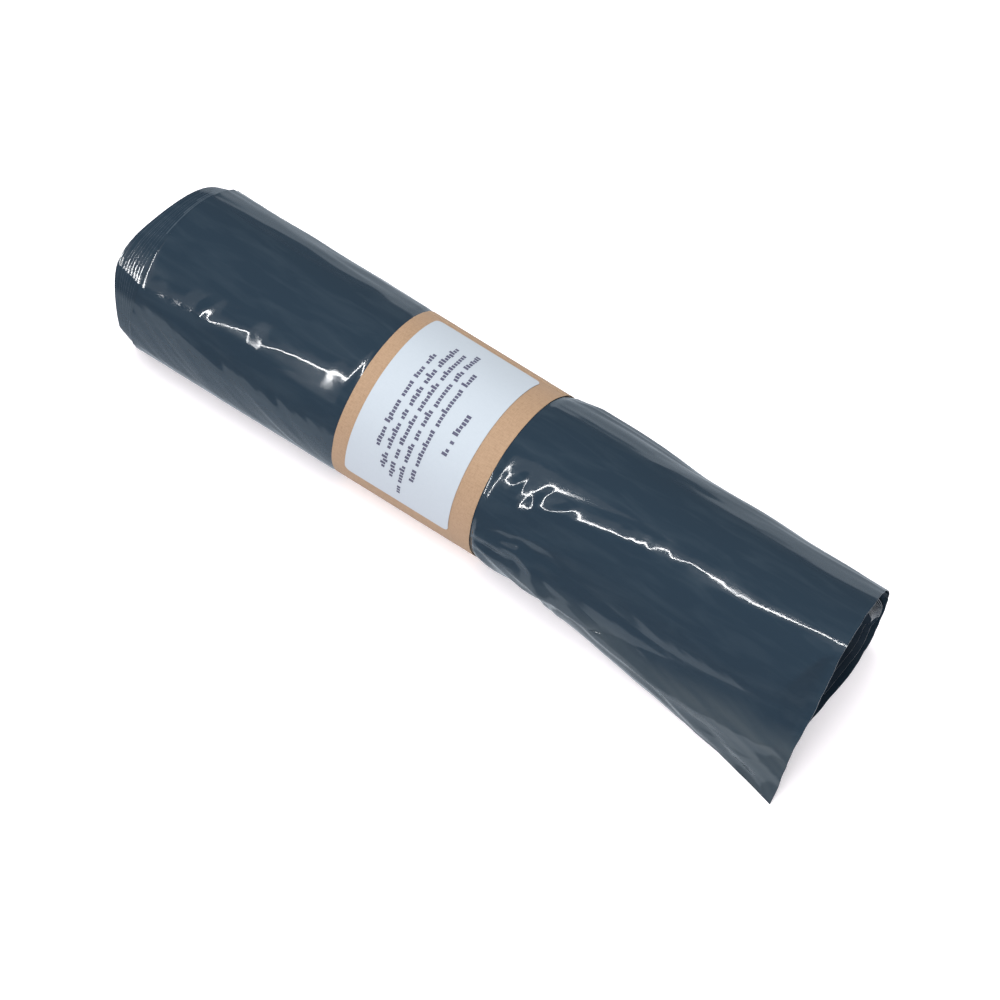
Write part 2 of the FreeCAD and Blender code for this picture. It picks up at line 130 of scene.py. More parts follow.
@dataclass(frozen=True)
class RollForm:
    """Cross-section of the roll and slope of its loose tail.

    Attributes:
        axis_y: Roll's axis, front to back.
        offset_x: Middle of the band along the roll.
        height: Roll's top above the surface.
        radius: Round part of the section.
        foot: Bend between the round part and the flat spot.
        tail_start: Where the tail comes loose, along the roll.
        turns_end: Right end of the wound turns.
        reaches: Tail's free edge in front of the axis, at places along the roll.
        bellies: Tail's belly out from a straight line, at places along the roll.
        lip_angle: Where the sagging lip leaves the round part, in degrees from the back.
        lip_sag: Where the lip starts and ends to sag, along the roll from the wound turns' end.
        edge_slant: Mean of the left edge's reach past its plane, and its swing round the roll.
        edge_peak: Where the left edge reaches out most, round the roll.
        inner_reach: How far the inner turns reach out past that at one place.
        inner_peak: That place round the roll, and its half width.
        inner_back: How far the inner turns stay back elsewhere.
        corner_start: Left end of the outer turn, where the flat front face is widest.
        corner_u: Upper edge of that face there, round the roll.
        corner_slope: Drift of that edge round the roll for each step to the right.
        corner_foot: Lower edge of that face.
        corner_flat: How flat that face is, from 0, round, to 1.
    """

    axis_y: float
    offset_x: float
    height: float = 93.0 * MM
    radius: float = 55.0 * MM
    foot: float = 18.0 * MM
    tail_start: float = 60.0 * MM
    turns_end: float = 272.0 * MM
    reaches: tuple[tuple[float, float], ...] = (
        (60.0, 31.1), (113.0, 46.0), (150.0, 53.0), (189.0, 58.6), (240.0, 68.0), (272.0, 76.0),
        (292.0, 81.0))
    bellies: tuple[tuple[float, float], ...] = ((60.0, 2.2), (150.0, 2.6), (272.0, 0.6), (292.0, 0.2))
    lip_angle: float = 110.0
    lip_sag: tuple[float, float] = (-12.0 * MM, 16.0 * MM)
    edge_slant: tuple[float, float] = (3.0 * MM, 4.0 * MM)
    edge_peak: float = 45.0 * MM
    inner_reach: float = 8.5 * MM
    inner_peak: tuple[float, float] = (42.0 * MM, 36.0 * MM)
    inner_back: float = 6.0 * MM
    corner_start: float = -232.0 * MM
    corner_u: float = 55.0 * MM
    corner_slope: float = 0.29
    corner_foot: float = 99.0 * MM
    corner_flat: float = 0.4

    @property
    def axis_z(self) -> float:
        """Returns the height of the roll's axis."""
        return self.height - self.radius

    @property
    def flat_half(self) -> float:
        """Returns half the width of the flat spot."""
        return math.sqrt((self.radius - self.foot) ** 2 - (self.axis_z - self.foot) ** 2)

    @property
    def foot_drop(self) -> float:
        """Returns how far below the horizontal the round part ends, in radians."""
        return math.atan2(self.axis_z - self.foot, self.flat_half)

    @property
    def round_half(self) -> float:
        """Returns the length of film from the crown to the end of the round part."""
        return self.radius * (math.pi / 2 + self.foot_drop)

    @property
    def foot_length(self) -> float:
        """Returns the length of film round one foot."""
        return self.foot * (math.pi / 2 - self.foot_drop)

    @property
    def half_turn(self) -> float:
        """Returns the length of film from the crown to the middle of the flat spot."""
        return self.round_half + self.foot_length + self.flat_half

    def closed(self, u: np.ndarray, inset: np.ndarray) -> tuple[np.ndarray, np.ndarray]:
        """Returns places on the closed section.

        Args:
            u: Length of film from the crown, positive to the front.
            inset: Depth under the outer surface.

        Returns:
            The places across and up.
        """
        side = np.where(u < 0, 1.0, -1.0)
        run = np.abs(u)
        on_round = np.minimum(run, self.round_half) / self.radius
        y = (self.radius - inset) * np.sin(on_round)
        z = self.axis_z + (self.radius - inset) * np.cos(on_round)
        past = np.clip(run - self.round_half, 0.0, self.foot_length) / self.foot + self.foot_drop
        in_foot = run > self.round_half
        y = np.where(in_foot, self.flat_half + (self.foot - inset) * np.cos(past), y)
        z = np.where(in_foot, self.foot - (self.foot - inset) * np.sin(past), z)
        on_flat = run > self.round_half + self.foot_length
        y = np.where(on_flat, self.flat_half - (run - self.round_half - self.foot_length), y)
        z = np.where(on_flat, inset, z)
        return self.axis_y + side * y, z

    def along(self, table: tuple[tuple[float, float], ...], x: np.ndarray) -> np.ndarray:
        """Returns a size of the tail at places along the roll.

        Args:
            table: Pairs of place and size, in millimetres from the middle of the band.
            x: Places along the roll.

        Returns:
            The size at each place.
        """
        places = np.array([place for place, _ in table]) * MM + self.offset_x
        sizes = np.array([value for _, value in table]) * MM
        return np.interp(x, places, sizes)

    def leave(self, x: np.ndarray) -> np.ndarray:
        """Returns the angle from the back at which the tail leaves the round part.

        Args:
            x: Places along the roll.

        Returns:
            The angle at each place, in radians.
        """
        reach = self.along(self.reaches, x)
        to_axis = np.hypot(reach, self.axis_z)
        below = np.arctan2(self.axis_z, reach)
        taut = math.pi + below - np.arccos(np.minimum(1.0, self.radius / to_axis))
        taut = np.minimum(taut, math.pi + self.foot_drop)
        start, end = (self.turns_end + self.offset_x + step for step in self.lip_sag)
        sag = smooth_step(start, end, x)
        return taut + (math.radians(self.lip_angle) - taut) * sag

    def tailed(self, x: np.ndarray, u: np.ndarray) -> tuple[np.ndarray, np.ndarray]:
        """Returns places on the outer sheet, which comes loose on the right of the band.

        Args:
            x: Places along the roll.
            u: Length of film from the crown, positive to the front.

        Returns:
            The places across and up.
        """
        y, z = self.closed(u, np.zeros_like(u))
        leave = self.leave(x)
        gone = self.radius * (leave - math.pi / 2)
        top_y = self.axis_y + self.radius * np.cos(leave)
        top_z = self.axis_z + self.radius * np.sin(leave)
        foot_y = self.axis_y - self.along(self.reaches, x)
        run_y, run_z = foot_y - top_y, -top_z
        length = np.hypot(run_y, run_z)
        share = np.clip((u - gone) / length, 0.0, 1.0)
        belly = 4 * self.along(self.bellies, x) * share * (1 - share)
        loose = u > gone
        y = np.where(loose, top_y + run_y * share + belly * run_z / length, y)
        z = np.where(loose, top_z + run_z * share - belly * run_y / length, z)
        return y, z

    def skew(self, u: np.ndarray, turn: np.ndarray, turns: float) -> np.ndarray:
        """Returns how far the left end stands out past its plane, most at its top front corner.

        Args:
            u: Places round the roll.
            turn: Number of the turn, counted from the outer one.
            turns: Turns that have slid.

        Returns:
            The length that each place stands out.
        """
        mean, swing = self.edge_slant
        sway = mean + swing * np.cos(math.pi * (u - self.edge_peak) / self.half_turn)
        middle, half = self.inner_peak
        inner = self.inner_reach * np.exp(-(((u - middle) / half) ** 2)) - self.inner_back
        return sway + inner * np.minimum(turn / turns, 1.0)

    def corner(self, x: np.ndarray, u: np.ndarray) -> np.ndarray:
        """Returns the lift of the flat front face at the left end, which narrows to the right.

        Args:
            x: Places along the roll.
            u: Places round the roll.

        Returns:
            The lift at each place.
        """
        crest = self.corner_u + self.corner_slope * (x - self.corner_start)
        down = u - crest
        face = np.maximum(self.corner_foot - crest, 0.0)
        chord = down * (face - down) / (2 * self.radius)
        return np.where((down > 0) & (down < face), -self.corner_flat * chord, 0.0)

    def free_edge(self, x: np.ndarray) -> np.ndarray:
        """Returns the length of film from the crown to the tail's free edge at places along the roll."""
        leave = self.leave(x)
        top_y = self.radius * np.cos(leave)
        top_z = self.axis_z + self.radius * np.sin(leave)
        run = np.hypot(top_y + self.along(self.reaches, x), top_z)
        return self.radius * (leave - math.pi / 2) + run


@dataclass(frozen=True)
class Crease:
    """One fold line on the film.

    Attributes:
        path: Points of its crest in the unrolled sheet, in millimetres.
        height: Rise of the crest, negative for a valley, in millimetres.
        width: Distance over which it fades out to its sides, in millimetres.
        sharp: Exponent of its profile: 1 is a tent, 2 is a soft swell.
    """

    path: tuple[tuple[float, float], ...]
    height: float
    width: float
    sharp: float = 1.0

    def raise_film(self, x: np.ndarray, u: np.ndarray) -> np.ndarray:
        """Returns how far the crease lifts the film.

        Args:
            x: Places along the roll, in millimetres.
            u: Places round the roll, in millimetres.

        Returns:
            The lift at each place, in millimetres.
        """
        nearest = np.full_like(x, np.inf)
        place = np.zeros_like(x)
        total = len(self.path) - 1
        for number, ((x0, u0), (x1, u1)) in enumerate(zip(self.path, self.path[1:])):
            run_x, run_u = x1 - x0, u1 - u0
            squared = run_x * run_x + run_u * run_u
            share = np.clip(((x - x0) * run_x + (u - u0) * run_u) / squared, 0.0, 1.0)
            gap = np.hypot(x - x0 - share * run_x, u - u0 - share * run_u)
            closer = gap < nearest
            nearest = np.where(closer, gap, nearest)
            place = np.where(closer, (number + share) / total, place)
        fade = np.sin(np.pi * np.clip(place, 0.02, 0.98)) ** 0.4
        return self.height * fade * np.maximum(1.0 - nearest / (2 * self.width), 0.0) ** self.sharp


@dataclass(frozen=True)
class FilmFinish:
    """Glossy polythene film.

    Attributes:
        name: Material's name.
        colour: Colour of a flat stretch.
        pale: Colour where the film is stretched or creased.
        rough: Lowest and highest roughness.
        crumple: Depth of the fine crumple.
    """

    name: str
    colour: tuple[float, float, float]
    pale: tuple[float, float, float]
    rough: tuple[float, float]
    crumple: float

    def build(self, groups: "SharedGroups") -> bpy.types.Material:
        """Returns the material.

        Args:
            groups: Shared node groups.

        Returns:
            The film's material.
        """
        material, tree = new_material(self.name)
        crumple = tree.node("ShaderNodeGroup", {"Scale": 1.0}, node_tree=groups.crumple).outputs
        tone = tree.mix(crumple["Pale"], self.colour, self.pale)
        # The "loose" attribute blends in the painted light colour on the tail.
        loose = tree.node("ShaderNodeAttribute", {}, attribute_name="loose").outputs["Fac"]
        bump = tree.node("ShaderNodeBump", {"Strength": 1.0, "Distance": self.crumple,
                                            "Height": crumple["Height"]})
        tree.surface({"Base Color": tree.mix(loose, tone, PAINTED_SHOW_THROUGH), "IOR": 1.52,
                      "Roughness": tree.ranged(crumple["Pale"], (0.0, 1.0), self.rough),
                      "Specular IOR Level": 0.5, "Normal": bump.outputs["Normal"]})
        return material


@dataclass(frozen=True)
class PaperFinish:
    """Paper with fibres and flecks.

    Attributes:
        name: Material's name.
        colour: Colour of the sheet.
        fibre: Colour of its fibres.
        fibres: How much the fibres show, 0 to 1.
        rough: Roughness.
        tooth: Depth of the surface's tooth.
    """

    name: str
    colour: tuple[float, float, float]
    fibre: tuple[float, float, float]
    fibres: float
    rough: float
    tooth: float

    def build(self, groups: "SharedGroups") -> bpy.types.Material:
        """Returns the material.

        Args:
            groups: Shared node groups.

        Returns:
            The paper's material.
        """
        material, tree = new_material(self.name)
        pulp = tree.node("ShaderNodeGroup", {"Scale": 1.0}, node_tree=groups.pulp).outputs
        amount = tree.math("MULTIPLY", pulp["Fibres"], self.fibres)
        bump = tree.node("ShaderNodeBump", {"Strength": 0.6, "Distance": self.tooth,
                                            "Height": pulp["Height"]})
        tree.surface({"Base Color": tree.mix(amount, self.colour, self.fibre), "IOR": 1.45,
                      "Roughness": self.rough, "Specular IOR Level": 0.3,
                      "Normal": bump.outputs["Normal"]})
        return material


class NodeTree:
    """Short helper that adds nodes to a material, a group or the surroundings."""

    def __init__(self, tree: bpy.types.NodeTree) -> None:
        """Takes the tree to add to."""
        self.tree = tree

    def node(self, kind: str, values: dict, **settings: object) -> bpy.types.Node:
        """Returns a new node.

        Args:
            kind: Node's type.
            values: Its inputs by name or number, each a value or the socket that feeds it.
            settings: Its own settings.

        Returns:
            The node.
        """
        item = self.tree.nodes.new(kind)
        for name, value in settings.items():
            setattr(item, name, value)
        for name, value in values.items():
            if isinstance(value, bpy.types.NodeSocket):
                self.tree.links.new(value, item.inputs[name])
            else:
                item.inputs[name].default_value = value
        return item

    def math(self, operation: str, *values: object) -> bpy.types.NodeSocket:
        """Returns the result of a sum on values or sockets."""
        return self.node("ShaderNodeMath", dict(enumerate(values)), operation=operation).outputs["Value"]

    def noise(self, place: bpy.types.NodeSocket, **values: float) -> bpy.types.NodeSocket:
        """Returns noise over a place, with the noise node's own values."""
        return self.node("ShaderNodeTexNoise", {"Vector": place, **values}).outputs["Fac"]

    def stretched(self, place: bpy.types.NodeSocket, scale: tuple) -> bpy.types.NodeSocket:
        """Returns a place scaled along each axis."""
        return self.node("ShaderNodeMapping", {"Scale": scale, "Vector": place}).outputs[0]

    def ranged(self, value: bpy.types.NodeSocket, start: tuple[float, float],
               end: tuple[float, float] = (0.0, 1.0)) -> bpy.types.NodeSocket:
        """Returns a value mapped from one range to another.

        Args:
            value: The value's socket.
            start: Range that it comes from.
            end: Range that it goes to.

        Returns:
            The mapped value's socket.
        """
        limits = zip(("From Min", "From Max", "To Min", "To Max"), (*start, *end))
        return self.node("ShaderNodeMapRange", {"Value": value, **dict(limits)}).outputs["Result"]

    def mix(self, share: bpy.types.NodeSocket, first: tuple | bpy.types.NodeSocket,
            second: tuple) -> bpy.types.NodeSocket:
        """Returns a colour between two.

        Args:
            share: Share of the second colour.
            first: Colour at 0, or the socket that gives it.
            second: Colour at 1.

        Returns:
            The colour's socket.
        """
        start = (*first, 1.0) if isinstance(first, tuple) else first
        sockets = {0: share, 6: start, 7: (*second, 1.0)}
        return self.node("ShaderNodeMix", sockets, data_type="RGBA").outputs[2]

    def surface(self, values: dict) -> None:
        """Adds the Principled shader with its values and links it to the output."""
        shader = self.node("ShaderNodeBsdfPrincipled", values)
        self.node("ShaderNodeOutputMaterial", {"Surface": shader.outputs["BSDF"]})


def new_material(name: str) -> tuple[bpy.types.Material, NodeTree]:
    """Returns a material without nodes, and the helper that adds them.

    Args:
        name: Material's name.

    Returns:
        The material and its helper.
    """
    material = bpy.data.materials.new(name)
    material.use_nodes = True
    material.node_tree.nodes.clear()
    return material, NodeTree(material.node_tree)


class SharedGroups:
    """Node groups that more than one material uses."""

    def __init__(self) -> None:
        """Builds the groups."""
        self.crumple = self.build_crumple()
        self.pulp = self.build_pulp()

    @staticmethod
    def start(name: str, outputs: tuple[str, ...]) -> tuple[NodeTree, bpy.types.NodeSocket]:
        """Returns a new group with a Scale input and float outputs.

        Args:
            name: Group's name.
            outputs: Names of its outputs.

        Returns:
            The helper that adds its nodes, and the scaled object coordinates.
        """
        group = bpy.data.node_groups.new(name, "ShaderNodeTree")
        group.interface.new_socket("Scale", in_out="INPUT", socket_type="NodeSocketFloat")
        for output in outputs:
            group.interface.new_socket(output, in_out="OUTPUT", socket_type="NodeSocketFloat")
        tree = NodeTree(group)
        place = tree.node("ShaderNodeTexCoord", {}).outputs["Object"]
        scale = tree.node("NodeGroupInput", {}).outputs["Scale"]
        scaled = tree.node("ShaderNodeVectorMath", {0: place, "Scale": scale}, operation="SCALE")
        return tree, scaled.outputs[0]

    def build_crumple(self) -> bpy.types.NodeTree:
        """Returns the film's fine crumple: long faint drawn lines, dimples and pale stretched spots."""
        tree, place = self.start("film_crumple", ("Height", "Pale"))
        lines = tree.noise(tree.stretched(place, (24.0, 120.0, 120.0)), Scale=1.0, Detail=3.0,
                           Roughness=0.5, Distortion=0.6)
        dimples = tree.noise(place, Scale=150.0, Detail=2.0, Roughness=0.45)
        where = tree.ranged(tree.noise(place, Scale=22.0, Detail=1.0), (0.42, 0.7), (0.05, 1.0))
        spots = tree.math("MULTIPLY", dimples, where)
        tree.node("NodeGroupOutput", {"Height": tree.math("MULTIPLY_ADD", lines, 0.7, spots),
                                      "Pale": tree.ranged(lines, (0.45, 0.85))})
        return tree.tree

    def build_pulp(self) -> bpy.types.NodeTree:
        """Returns paper pulp: short fibres laid two ways, dark flecks and a fine tooth."""
        tree, place = self.start("paper_pulp", ("Height", "Fibres"))
        laid = ((260.0, 1500.0, 1500.0), (1300.0, 420.0, 420.0))
        layers = [tree.noise(tree.stretched(place, scale), Scale=1.0, Detail=3.0, Roughness=0.6)
                  for scale in laid]
        both = tree.math("MULTIPLY", *layers)
        flecks = tree.ranged(tree.noise(place, Scale=700.0, Detail=1.0), (0.68, 0.75))
        fibres = tree.math("MAXIMUM", tree.ranged(both, (0.16, 0.42)), flecks)
        tree.node("NodeGroupOutput", {"Fibres": fibres, "Height": both})
        return tree.tree


def linked(name: str, data: bpy.types.ID) -> bpy.types.Object:
    """Returns a new object in the scene.

    Args:
        name: Object's name.
        data: Its mesh, light or camera.

    Returns:
        The object.
    """
    item = bpy.data.objects.new(name, data)
    bpy.context.scene.collection.objects.link(item)
    return item


def mesh_from(bm: bmesh.types.BMesh, name: str) -> bpy.types.Mesh:
    """Returns a bmesh's mesh and frees the bmesh.

    Args:
        bm: The bmesh.
        name: Mesh's name.

    Returns:
        The mesh.
    """
    mesh = bpy.data.meshes.new(name)
    bm.to_mesh(mesh)
    bm.free()
    return mesh


def grid_mesh(name: str, columns: int, rows: int) -> tuple[bpy.types.Mesh, np.ndarray, np.ndarray]:
    """Returns a flat grid to be bent into a sheet.

    Args:
        name: Mesh's name.
        columns: Faces along the roll.
        rows: Faces round the roll.

    Returns:
        The mesh, and each vertex's share along and round the sheet, from 0 to 1.
    """
    bm = bmesh.new()
    bmesh.ops.create_grid(bm, x_segments=columns, y_segments=rows, size=1.0)
    mesh = mesh_from(bm, name)
    places = np.empty(len(mesh.vertices) * 3)
    mesh.vertices.foreach_get("co", places)
    places = places.reshape(-1, 3)
    return mesh, (places[:, 0] + 1) / 2, (1 - places[:, 1]) / 2


def pushed_out(form_at: Callable, x: np.ndarray, u: np.ndarray,
               lift: np.ndarray) -> tuple[np.ndarray, np.ndarray]:
    """Returns places on a section moved along its outward normal.

    Args:
        form_at: Function that gives the places across and up at x and u.
        x: Places along the roll.
        u: Places round the roll.
        lift: How far to move each place outwards.

    Returns:
        The places across and up.
    """
    step = 0.4 * MM
    y, z = form_at(x, u)
    y0, z0 = form_at(x, u - step)
    y1, z1 = form_at(x, u + step)
    run_y, run_z = y1 - y0, z1 - z0
    length = np.maximum(np.hypot(run_y, run_z), 1e-9)
    return y + lift * run_z / length, z - lift * run_y / length


def thickened(mesh: bpy.types.Mesh, places: tuple[np.ndarray, ...], materials: list[bpy.types.Material],
              thickness: float, painted_edge_light: np.ndarray | None = None) -> bpy.types.Object:
    """Returns a sheet's object with its wall, edges in the last material.

    Args:
        mesh: The sheet's outer face, with the piece's name.
        places: Its vertices' places along the roll, across it and up.
        materials: Material of the sheet, of its painted edge highlight if it has one, and of its cut edges.
        thickness: Wall, laid inwards.
        painted_edge_light: Which vertices lie on the strip with the painted edge highlight.

    Returns:
        The object, at the origin, with nothing live on it.
    """
    mesh.vertices.foreach_set("co", np.column_stack(places).ravel())
    mesh.update()
    name = mesh.name
    piece = linked(name, mesh)
    for material in materials:
        mesh.materials.append(material)
    if painted_edge_light is not None and len(materials) > 2:
        # Faces on that strip take the painted edge highlight.
        corners = np.array([tuple(face.vertices) for face in mesh.polygons])
        mesh.polygons.foreach_set("material_index", painted_edge_light[corners].all(axis=1).astype(np.int32))
    wall = piece.modifiers.new("wall", "SOLIDIFY")
    wall.thickness = thickness
    wall.offset = -1.0
    wall.material_offset_rim = len(materials) - 1
    bpy.context.view_layer.update()
    finished = bpy.data.meshes.new_from_object(piece.evaluated_get(bpy.context.evaluated_depsgraph_get()))
    piece.modifiers.clear()
    piece.data = finished
    finished.name = name
    finished.polygons.foreach_set("use_smooth", [True] * len(finished.polygons))
    finished.set_sharp_from_angle(angle=CRISP_EDGE)
    return piece


@dataclass
class OuterFilm:
    """Outermost film, in one sheet on each side of the band.

    Attributes:
        form: Roll's form.
        left_edge: Left edge of the outer turn.
        band: Band's left and right edges.
        tuck: How far the film runs on under the band.
        seat: Depth of the film under the band.
        thickness: Film's wall.
        rim_rise: Slant of the lip's rim along the roll for each millimetre up.
        rim_swing: Slant of the rim along the roll for each millimetre forward.
        rim_back: Root of the rim on the surface, behind the axis.
        lip_reach: How far the rim may reach past the wound turns.
        lip_back: How far it stays back under the roll.
        pinch: Distance from the band over which the film rises from under it.
        gather: Distance from the band over which it is finely gathered.
        fine_share: Share of the fine gathers everywhere, and added beside the band.
        back_zone: Where the back's streaks end and start, round the roll.
        front_zone: Where the front's streaks start and end.
        tilts: Slope of the streaks at the back, and at the front on the left and on the right.
        bulge_height: Bulge of the film at the back, right of the band.
        bulge_peak: Its middle and half width round the roll.
        bulge_span: Where it starts, is full, starts to fall and ends, along the roll.
        lining_depth: Depth of the tail's second layer of film under the outer one.
        lining_wall: Its wall.
        lining_start: How far right of the tail's start it begins.
        lining_short: How far its rim and free edge stay back.
        lining_back: Where it starts round the roll.
        left_flare: Height of the outer turn's flared left end, and the distance over which it fades.
        swell: Broad swell of the film.
        facets: Soft ridges with flatter film between them.
        fine: Fine gathers.
        back_streaks: Drawn streaks at the back.
        front_streaks: Drawn streaks at the front.
        rolling: Slow swell under the streaks at the back.
        ragged_rim: Unevenness of the lip's rim.
        ragged_left: Unevenness of the left edge.
        painted_light_line: Where the painted light on the tail starts, in the unrolled sheet, in
            millimetres.
        left_creases: Creases left of the band.
        right_creases: Creases right of the band and on the tail.
    """

    form: RollForm
    left_edge: float
    band: tuple[float, float]
    tuck: float = 5.0 * MM
    seat: float = 0.62 * MM
    thickness: float = 0.35 * MM
    rim_rise: float = 0.152
    rim_swing: float = 0.132
    rim_back: float = 20.0 * MM
    lip_reach: float = 19.5 * MM
    lip_back: float = 0.4 * MM
    pinch: float = 5.5 * MM
    gather: float = 16.0 * MM
    fine_share: tuple[float, float] = (0.012, 0.09)
    back_zone: tuple[float, float] = (-46.0 * MM, -16.0 * MM)
    front_zone: tuple[float, float] = (52.0 * MM, 72.0 * MM)
    tilts: tuple[float, float, float] = (0.06, 0.75, 0.33)
    bulge_height: float = 2.4 * MM
    bulge_peak: tuple[float, float] = (-62.0 * MM, 34.0 * MM)
    bulge_span: tuple[float, float, float, float] = (10.0 * MM, 34.0 * MM, 50.0 * MM, 105.0 * MM)
    lining_depth: float = 0.85 * MM
    lining_wall: float = 0.25 * MM
    lining_start: float = 20.0 * MM
    lining_short: float = 1.6 * MM
    lining_back: float = -60.0 * MM
    left_flare: tuple[float, float] = (0.20 * MM, 1.2 * MM)
    swell: Wave = Wave(0.26 * MM, 70 * MM, 34 * MM, 0.0)
    facets: Wave = Wave(0.07 * MM, 26 * MM, 13 * MM, 7.0)
    fine: Wave = Wave(1.0 * MM, 9 * MM, 6 * MM, 13.0)
    back_streaks: Wave = Wave(1.0 * MM, 80 * MM, 8 * MM, 17.0)
    front_streaks: Wave = Wave(0.5 * MM, 52 * MM, 7 * MM, 19.0)
    rolling: Wave = Wave(0.9 * MM, 42 * MM, 19 * MM, 23.0)
    ragged_rim: Wave = Wave(0.5 * MM, 23 * MM, 9 * MM, 31.0)
    ragged_left: Wave = Wave(0.5 * MM, 30 * MM, 14 * MM, 3.0)
    painted_light_line: tuple[tuple[float, float], ...] = (
        (16.0, 79.0), (75.0, 78.0), (104.0, 78.0), (142.0, 86.0), (163.0, 83.0), (186.0, 77.0),
        (215.0, 75.0), (243.0, 77.0))
    left_creases: tuple[Crease, ...] = (
        Crease(((-225.6, 45.8), (-209.4, 42.0), (-196.2, 46.5), (-180.3, 42.0), (-163.4, 37.0),
                (-153.9, 41.2), (-142.8, 37.5), (-129.5, 35.2), (-109.1, 33.0), (-101.4, 37.2),
                (-94.7, 39.0)), 0.9, 5.0),
        Crease(((-196.2, 46.5), (-196.6, 41.2), (-190.0, 34.0)), 0.45, 2.6),
        Crease(((-204.8, -43.0), (-177.7, -36.0), (-146.9, -39.2), (-104.7, -29.5)), 0.6, 5.0),
        Crease(((-190.0, -55.0), (-148.5, -49.8), (-103.8, -47.5)), 0.5, 4.0),
        Crease(((-218.4, 21.0), (-186.5, 14.5), (-149.3, 5.8), (-99.2, -0.5)), 0.35, 8.0, 1.4),
        Crease(((-199.0, 48.2), (-178.0, 62.0), (-150.0, 88.0), (-117.0, 112.0)), -0.45, 5.0),
        Crease(((-214.0, 60.0), (-194.0, 80.0), (-170.0, 104.0)), 0.4, 5.0),
        Crease(((-160.0, 60.0), (-140.0, 76.0), (-112.0, 100.0)), 0.35, 6.0, 1.3),
    )
    right_creases: tuple[Crease, ...] = (
        Crease(((11.7, 28.5), (18.7, 34.0), (24.3, 34.8), (30.0, 27.5), (39.5, 32.2), (43.3, 37.5)),
               0.55, 2.6),
        Crease(((30.0, 30.0), (39.5, 32.2), (43.3, 37.5), (51.0, 35.8), (68.7, 32.5), (91.4, 28.0),
                (118.0, 24.2)), 1.8, 6.0),
        Crease(((104.0, 26.0), (118.0, 24.2), (130.1, 22.8), (143.1, 18.2), (154.3, 18.8), (167.2, 21.5),
                (185.7, 21.0), (207.0, 18.2), (228.1, 14.0), (245.9, 12.5)), 0.6, 5.0),
        Crease(((49.4, 36.8), (58.9, 32.0), (66.0, 27.0)), 0.4, 2.4),
        Crease(((9.0, 74.0), (26.8, 72.0), (44.0, 68.2), (53.9, 73.8), (64.6, 89.5), (71.1, 112.0)),
               1.8, 3.6),
        Crease(((9.0, 71.0), (28.1, 62.2), (44.0, 57.5), (62.0, 56.0)), 1.0, 3.0),
        Crease(((9.0, 76.0), (24.0, 84.0), (45.8, 96.2), (66.0, 122.0)), 1.5, 3.0),
        Crease(((9.0, 78.0), (30.0, 80.0), (56.0, 88.0), (86.0, 90.0), (119.1, 92.8)), 1.3, 4.0),
        Crease(((9.0, 80.0), (20.0, 98.0), (34.0, 122.0)), 1.2, 3.0),
        Crease(((10.0, 77.5), (22.0, 78.5), (38.0, 78.0)), -1.9, 2.2),
        Crease(((12.0, 66.0), (30.0, 67.0), (48.0, 63.0), (80.0, 62.0)), -1.2, 3.4),
        Crease(((16.0, 80.0), (75.0, 90.0), (134.0, 101.0), (180.0, 100.0), (225.0, 94.0), (252.0, 84.0),
                (300.0, 70.0)), 5.6, 13.5, 1.1),
        Crease(((88.0, 104.0), (128.0, 112.0), (170.0, 118.0)), 0.9, 4.0),
        Crease(((122.0, 98.0), (150.0, 108.0), (176.0, 122.0)), -0.8, 3.0),
        Crease(((9.7, -38.8), (31.6, -53.5), (66.1, -58.5), (99.8, -60.8)), 1.0, 4.5),
        Crease(((12.7, -25.5), (48.9, -22.2), (76.6, -24.2), (104.0, -39.0)), 0.6, 5.0),
        Crease(((12.0, -12.0), (40.0, -14.0), (70.0, -8.0)), 0.35, 4.0),
        Crease(((106.7, -18.8), (152.6, -19.5), (188.5, -20.0), (225.1, -23.8)), 0.35, 6.0, 1.3),
        Crease(((80.0, -44.0), (120.0, -40.0), (150.0, -46.0)), 0.6, 5.0),
        Crease(((119.1, 96.8), (149.1, 102.2), (182.4, 115.5), (216.0, 112.0), (238.0, 105.0)), 1.3, 3.6),
        Crease(((74.7, 78.8), (104.5, 93.8), (141.3, 97.2), (179.9, 101.8)), 1.0, 4.0),
        Crease(((150.0, 112.0), (190.0, 121.0), (226.0, 116.0), (250.0, 104.0)), 1.0, 4.0),
        Crease(((142.6, 56.8), (172.8, 60.0), (210.9, 66.0), (236.0, 74.0)), 0.35, 4.0),
        Crease(((186.0, 108.0), (208.8, 118.0), (232.0, 124.0)), -1.6, 3.5),
    )

    def __post_init__(self) -> None:
        """Works out the lip's right end from the form."""
        self.turns_end = self.form.turns_end + self.form.offset_x

    def lift(self, x: np.ndarray, u: np.ndarray, creases: tuple[Crease, ...], seed: float,
             tilt: float) -> np.ndarray:
        """Returns how far wrinkles, creases and the band's pinch move the film outwards.

        Args:
            x: Places along the roll.
            u: Places round the roll.
            creases: Fold lines on this side of the band.
            seed: Slice of the noise.
            tilt: Slope of the front's drawn streaks, round the roll for each step along it.

        Returns:
            The lift at each place.
        """
        folds = sum(crease.raise_film(x / MM, u / MM) for crease in creases) * MM
        at_back = 1 - smooth_step(*self.back_zone, u)
        at_front = smooth_step(*self.front_zone, u)
        drawn = self.back_streaks.ridges(x, u + self.tilts[0] * x, seed) + self.rolling.at(x, u, seed)
        streaks = drawn * at_back + self.front_streaks.ridges(x, u - tilt * x, seed) * at_front
        beside = np.minimum(np.abs(x - self.band[0]), np.abs(x - self.band[1]))
        everywhere, added = self.fine_share
        fine = (everywhere + added * np.exp(-beside / self.gather)) * self.fine.at(x, u, seed)
        under = (x > self.band[0]) & (x < self.band[1])
        pinch = smooth_step(0.0, self.pinch, np.where(under, 0.0, beside))
        even = self.swell.at(x, u, seed) + self.facets.ridges(x, u, seed, 0.5) + self.bulge(x, u)
        return pinch * (folds + streaks + fine + even) - self.seat * (1 - pinch)

